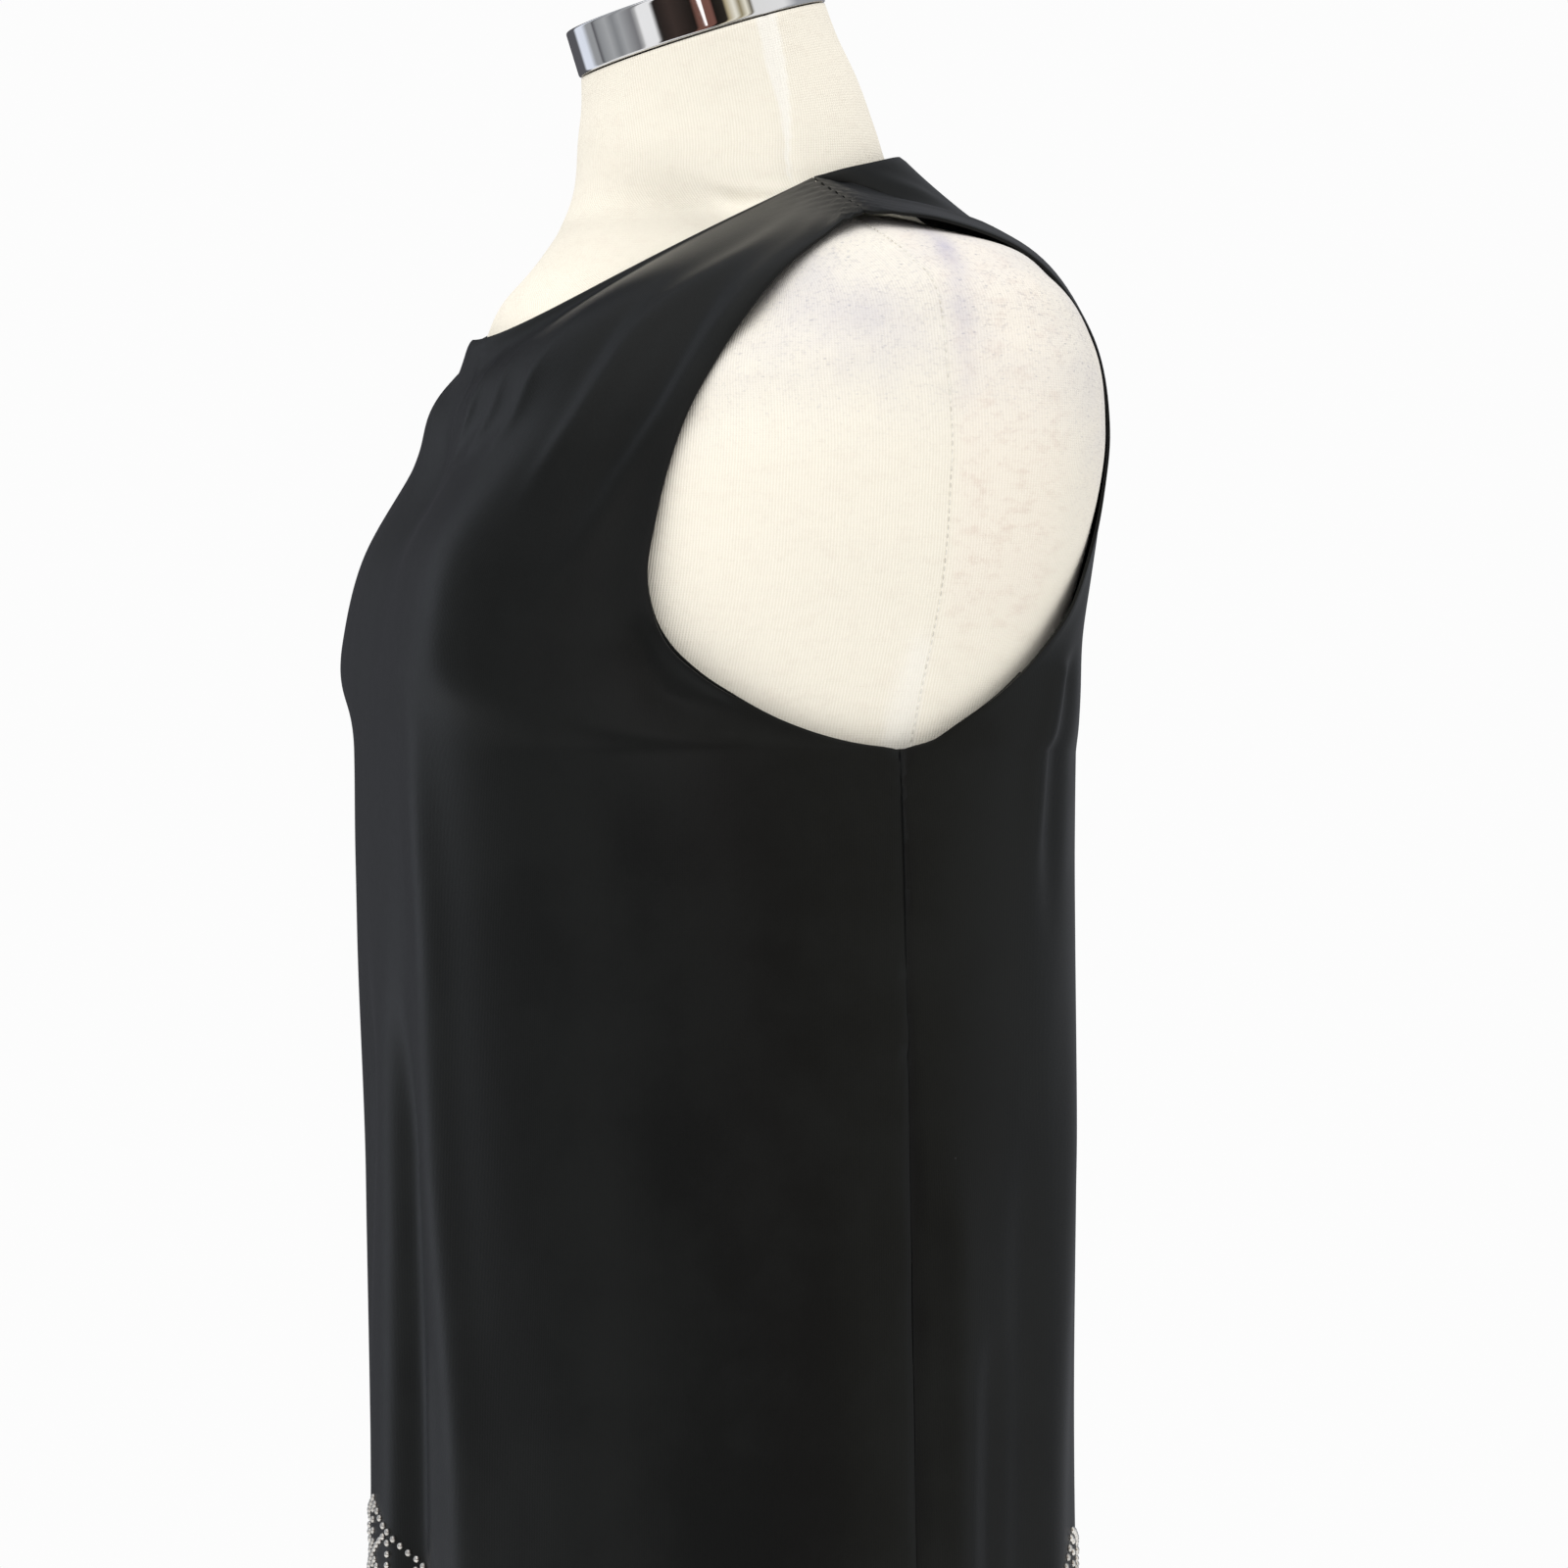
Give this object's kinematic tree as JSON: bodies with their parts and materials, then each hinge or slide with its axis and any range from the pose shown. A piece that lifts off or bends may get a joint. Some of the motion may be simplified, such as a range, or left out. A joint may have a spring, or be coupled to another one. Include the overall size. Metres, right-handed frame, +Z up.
{
  "type": "beaded shift dress on a limbless dress form",
  "caption": "Sleeveless straight black jersey shift dress, shown on a padded limbless dress form with a chrome neck cap, a pole and a round foot plate.",
  "frame": {"origin": "centre of the foot plate's underside, on the floor", "axes": "+Z up, the front of the dress faces -Y, the wearer's left side is +X"},
  "size_m": [0.4008, 0.38, 1.4849],
  "materials": {
    "jersey": "matte black jersey with a faint blue sheen",
    "facing": "black jersey, wrong side",
    "bead": "polished pewter beads",
    "thread": "matte sewing thread",
    "form_cover": "cream fine-ribbed knit",
    "cap_chrome": "mirror chrome",
    "stand_chrome": "satin chrome"
  },
  "bodies": {
    "root": {"front_panel": "jersey", "back_panel": "jersey", "armhole_facing_left": "facing", "armhole_facing_right": "facing", "form_torso": "form_cover", "neck_cap": "cap_chrome", "stand_pole": "stand_chrome", "stand_socket": "stand_chrome", "base_plate": "stand_chrome"}
  },
  "joints": []
}
